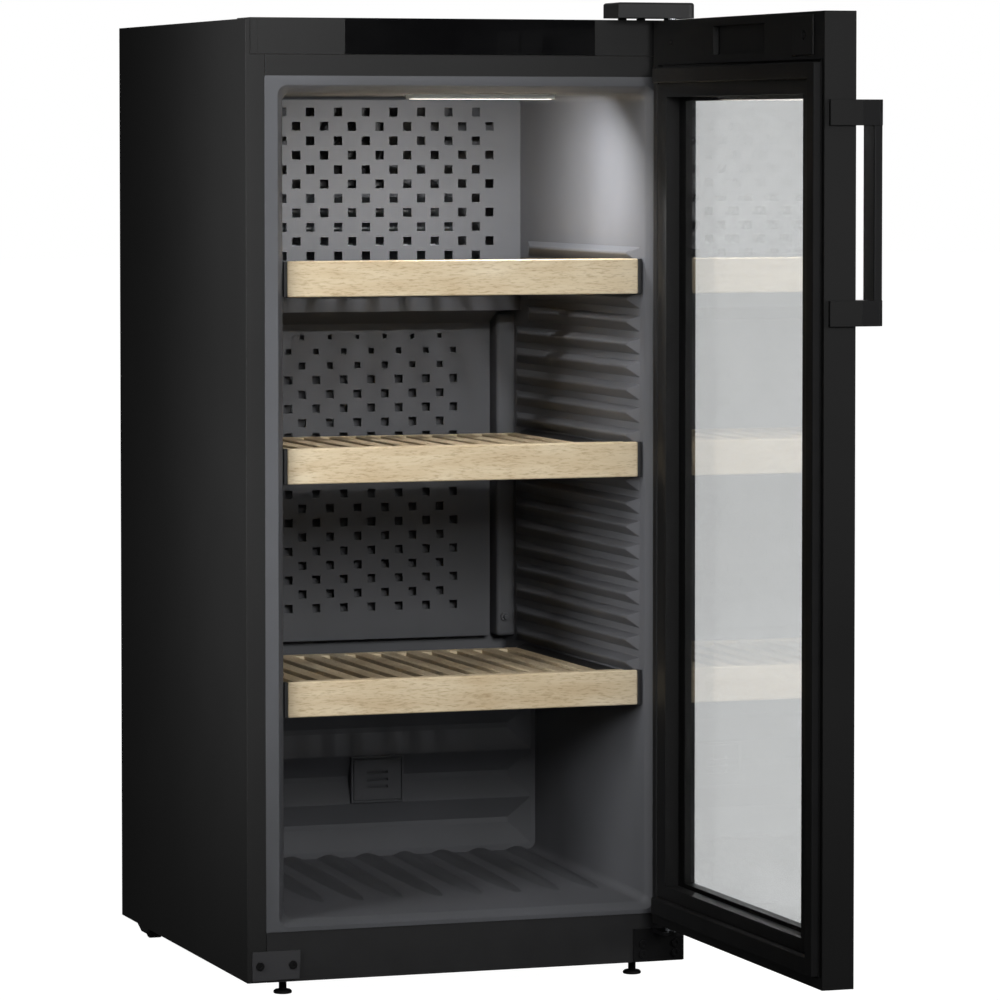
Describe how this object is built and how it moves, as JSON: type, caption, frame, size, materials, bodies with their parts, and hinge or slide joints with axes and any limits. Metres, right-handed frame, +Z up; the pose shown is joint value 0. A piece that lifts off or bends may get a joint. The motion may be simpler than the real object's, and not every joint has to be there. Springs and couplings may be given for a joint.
{
  "type": "wine cooler",
  "caption": "Free-standing wine cooler with a side-hinged glazed door, slatted wooden pull-out shelves, perforated air duct wall and rear compressor bay.",
  "frame": {"origin": "centre of the cabinet's footprint on the floor", "axes": "+Z up, +Y towards the wall behind, the front with its door faces -Y, +X to the hinge side"},
  "size_m": [0.6208, 1.23, 1.2775],
  "materials": {
    "black_steel": "fine matte powder coat",
    "grey_steel": "satin paint",
    "liner_plastic": "satin thermoformed plastic",
    "foam": "rigid insulating foam",
    "black_plastic": "fine grained",
    "gloss_black": "polished",
    "circuit_board": "solder mask",
    "zinc": "zinc plated",
    "light_plastic": "satin",
    "diffuser": "opal",
    "black_metal": "black enamel",
    "black_rubber": "matte",
    "copper": "drawn tube",
    "door_black": "fine matte coat",
    "tinted_glass": "tinted insulating glass",
    "beech": "planed and lacquered"
  },
  "bodies": {
    "cabinet": {"side_panels": "black_steel", "top_panel": "black_steel", "rear_panel": "black_steel", "inner_liner": "liner_plastic", "insulation_foam": "foam", "base_plate": "grey_steel", "lower_crossbar": "black_plastic", "upper_crossbar": "black_steel", "control_fascia": "black_steel", "display_panel": "gloss_black", "control_board": "circuit_board", "air_duct_panel": "liner_plastic", "evaporator": "zinc", "fan_housing": "black_plastic", "fan_motor": "zinc", "light_housing": "light_plastic", "light_diffuser": "diffuser", "temperature_sensor": "liner_plastic", "compressor": "black_metal", "terminal_box": "black_plastic", "compressor_grommets": "black_rubber", "condenser_coil": "copper", "refrigerant_pipes": "copper", "drip_tray": "light_plastic", "mains_inlet": "black_plastic", "castor_housings": "black_plastic", "foot_bushes": "zinc", "lower_hinge_bracket": "black_metal", "upper_hinge_bracket": "black_metal", "hinge_pins": "zinc", "hinge_cover": "black_plastic", "left_cover_plate": "grey_steel", "cabinet_screws": "zinc", "filter_socket": "liner_plastic"},
    "door": {"door_frame": "door_black", "door_outer_pane": "tinted_glass", "door_inner_pane": "tinted_glass", "pane_spacer": "door_black", "door_gasket": "black_rubber", "latch_cap": "black_plastic", "hinge_bushes": "light_plastic", "door_screws": "zinc", "handle_mounts": "door_black"},
    "handle": {"handle_grip": "door_black"},
    "shelf_lower": {"shelf_lower_board": "beech", "shelf_lower_frame": "beech", "shelf_lower_slides": "black_plastic"},
    "shelf_middle": {"shelf_middle_board": "beech", "shelf_middle_frame": "beech", "shelf_middle_slides": "black_plastic"},
    "shelf_upper": {"shelf_upper_board": "beech", "shelf_upper_frame": "beech", "shelf_upper_slides": "black_plastic"},
    "fan": {"fan_rotor": "black_plastic"},
    "filter": {"charcoal_filter": "liner_plastic"},
    "castor_left": {"castor_wheel_left": "black_rubber"},
    "castor_right": {"castor_wheel_right": "black_rubber"},
    "foot_left": {"front_foot_left": "black_rubber"},
    "foot_right": {"front_foot_right": "black_rubber"}
  },
  "joints": [
    {"name": "door_hinge", "type": "hinge", "parent": "cabinet", "child": "door", "pos_m": [0.2695, -0.344, 0.66], "axis": [0, 0, 1], "range_deg": [-90, 25]},
    {"name": "handle_pull", "type": "hinge", "parent": "door", "child": "handle", "pos_m": [0.2965, -0.915, 1.012], "axis": [0, 0, -1], "range_deg": [0, 8], "stiffness_Nm_per_rad": 6, "springref_deg": -2.86},
    {"name": "shelf_lower_slide", "type": "slide", "parent": "cabinet", "child": "shelf_lower", "axis": [0, -1, 0], "range_m": [0, 0.25]},
    {"name": "shelf_middle_slide", "type": "slide", "parent": "cabinet", "child": "shelf_middle", "axis": [0, -1, 0], "range_m": [0, 0.25]},
    {"name": "shelf_upper_slide", "type": "slide", "parent": "cabinet", "child": "shelf_upper", "axis": [0, -1, 0], "range_m": [0, 0.25]},
    {"name": "fan_spin", "type": "hinge", "parent": "cabinet", "child": "fan", "pos_m": [0, 0.22, 1.09], "axis": [0, 1, 0], "continuous": true},
    {"name": "filter_turn", "type": "hinge", "parent": "cabinet", "child": "filter", "pos_m": [0.014, 0.141, 0.22], "axis": [0, -1, 0], "range_deg": [0, 90]},
    {"name": "castor_left_roll", "type": "hinge", "parent": "cabinet", "child": "castor_left", "pos_m": [-0.275, 0.226, 0.019], "axis": [1, 0, 0], "continuous": true},
    {"name": "castor_right_roll", "type": "hinge", "parent": "cabinet", "child": "castor_right", "pos_m": [0.275, 0.226, 0.019], "axis": [1, 0, 0], "continuous": true},
    {"name": "foot_left_adjust", "type": "slide", "parent": "cabinet", "child": "foot_left", "axis": [0, 0, -1], "range_m": [0, 0.018]},
    {"name": "foot_right_adjust", "type": "slide", "parent": "cabinet", "child": "foot_right", "axis": [0, 0, -1], "range_m": [0, 0.018]}
  ]
}
